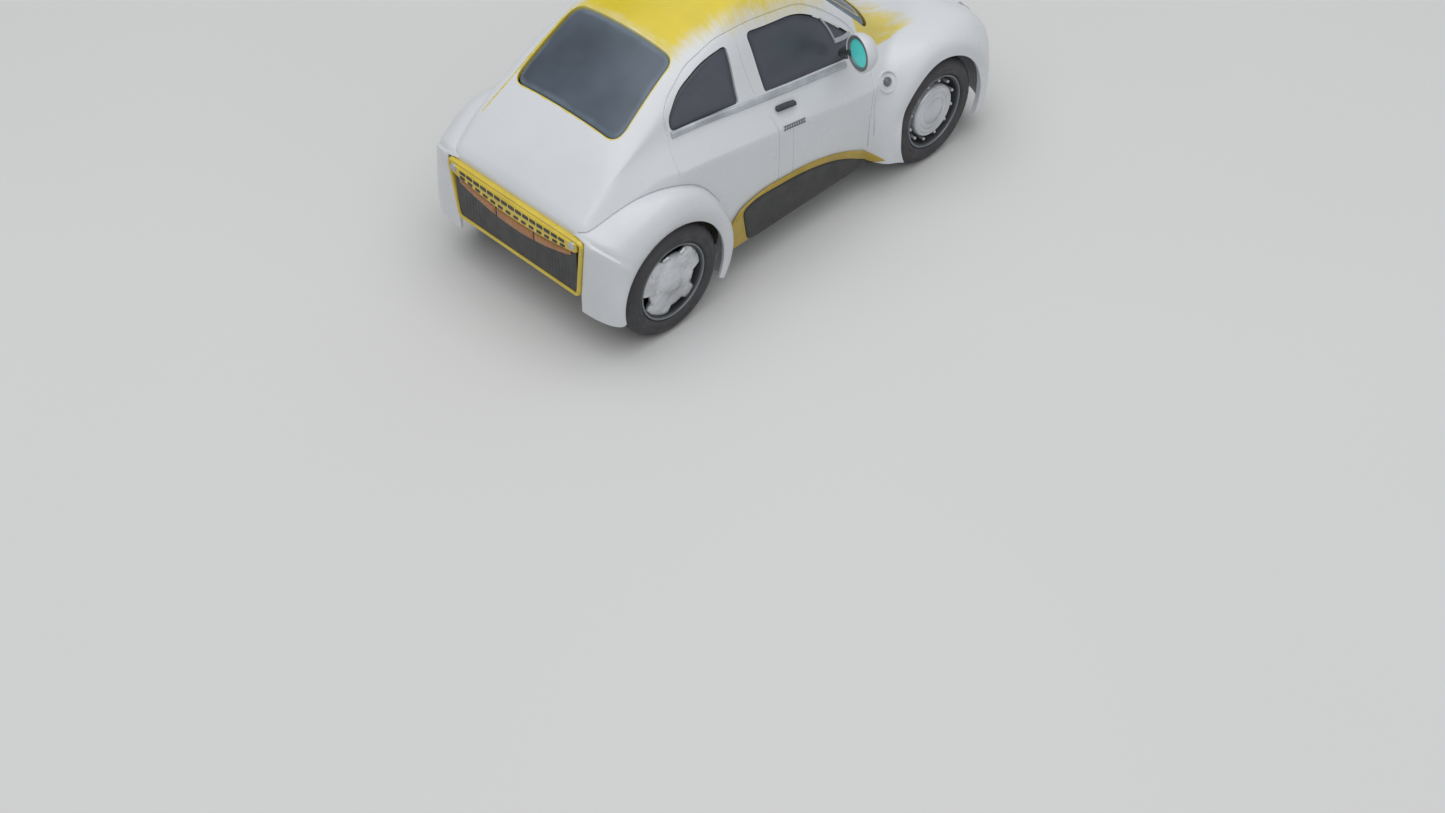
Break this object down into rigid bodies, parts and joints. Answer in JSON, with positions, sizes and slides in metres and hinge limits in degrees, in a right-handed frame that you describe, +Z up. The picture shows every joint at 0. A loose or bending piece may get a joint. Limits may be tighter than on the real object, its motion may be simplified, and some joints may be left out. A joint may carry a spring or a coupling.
{
  "type": "friction tin car",
  "caption": "Rounded two-door pressed-tin toy saloon with flared rear fenders, door mirrors, rolling wheels and a flywheel friction motor geared to the rear axle.",
  "frame": {"origin": "on the floor under the middle of the car, at the bottom centre of its bounding box", "axes": "+X forward, +Y to the car's left, +Z up"},
  "size_m": [0.188, 0.1068, 0.0939],
  "materials": {
    "body_white": "gloss white enamel on tinplate, with airbrushed yellow on roof and bonnet",
    "trim_yellow": "satin yellow enamel with fine wear",
    "panel_black": "satin black",
    "window_tint": "glossy dark blue-grey tint",
    "side_window_tint": "glossy dark grey tint",
    "silver_trim": "dull bright metal",
    "amber_lens": "glossy translucent amber",
    "lamp_lens": "clear pressed lens",
    "mirror_glass": "teal tinted mirror",
    "tyre_rubber": "dark grey rubber",
    "hub_silver": "silver lacquer",
    "steel": "plain steel",
    "brass_gear": "stamped brass",
    "tinplate": "bare tinplate"
  },
  "bodies": {
    "body": {"body_shell": "body_white", "rear_fender_left": "body_white", "rear_fender_right": "body_white", "mirror_shell_left": "body_white", "mirror_shell_right": "body_white", "rear_panel_frame": "trim_yellow", "tail_lamp_strip": "trim_yellow", "front_panel_frame": "trim_yellow", "skirt_trim_left": "trim_yellow", "skirt_trim_right": "trim_yellow", "rear_panel": "panel_black", "front_panel": "panel_black", "door_handle_left": "panel_black", "door_handle_right": "panel_black", "side_skirt_left": "panel_black", "side_skirt_right": "panel_black", "mirror_arm_left": "panel_black", "mirror_arm_right": "panel_black", "windscreen": "window_tint", "rear_window": "window_tint", "door_window_left": "side_window_tint", "door_window_right": "side_window_tint", "quarter_window_left": "side_window_tint", "quarter_window_right": "side_window_tint", "belt_moulding_left": "silver_trim", "belt_moulding_right": "silver_trim", "side_vent_left": "silver_trim", "side_vent_right": "silver_trim", "fuel_cap": "silver_trim", "rear_lens_left": "amber_lens", "rear_lens_center": "amber_lens", "rear_lens_right": "amber_lens", "headlight_left": "lamp_lens", "headlight_right": "lamp_lens", "mirror_glass_left": "mirror_glass", "mirror_glass_right": "mirror_glass", "motor_pillar_front": "steel", "motor_pillar_rear": "steel", "screw_front": "steel", "screw_rear": "steel", "base_plate": "tinplate", "front_axle_bracket": "tinplate", "motor_plate_left": "tinplate", "motor_plate_right": "tinplate"},
    "rear_axle_set": {"rear_axle": "steel", "drive_gear": "brass_gear", "rear_hub_left": "hub_silver", "rear_hub_right": "hub_silver", "rear_tyre_left": "tyre_rubber", "rear_tyre_right": "tyre_rubber"},
    "front_axle_set": {"front_axle": "steel", "front_hub_left": "hub_silver", "front_hub_right": "hub_silver", "front_tyre_left": "tyre_rubber", "front_tyre_right": "tyre_rubber"},
    "idler": {"idler_shaft": "steel", "idler_gear": "brass_gear"},
    "flywheel_set": {"flywheel_shaft": "steel", "flywheel": "steel"}
  },
  "joints": [
    {"name": "rear_axle_spin", "type": "hinge", "parent": "body", "child": "rear_axle_set", "pos_m": [-0.066, 0, 0.02], "axis": [0, 1, 0], "continuous": true},
    {"name": "front_axle_spin", "type": "hinge", "parent": "body", "child": "front_axle_set", "pos_m": [0.06, 0, 0.02], "axis": [0, 1, 0], "continuous": true},
    {"name": "idler_spin", "type": "hinge", "parent": "body", "child": "idler", "pos_m": [-0.05418, 0, 0.02924], "axis": [0, 1, 0], "continuous": true},
    {"name": "flywheel_spin", "type": "hinge", "parent": "body", "child": "flywheel_set", "pos_m": [-0.04049, 0, 0.03215], "axis": [0, 1, 0], "continuous": true}
  ],
  "couplings": [
    {"joint": "idler_spin", "follows": "rear_axle_spin", "ratio": -2.75},
    {"joint": "flywheel_spin", "follows": "rear_axle_spin", "ratio": 6.875}
  ]
}
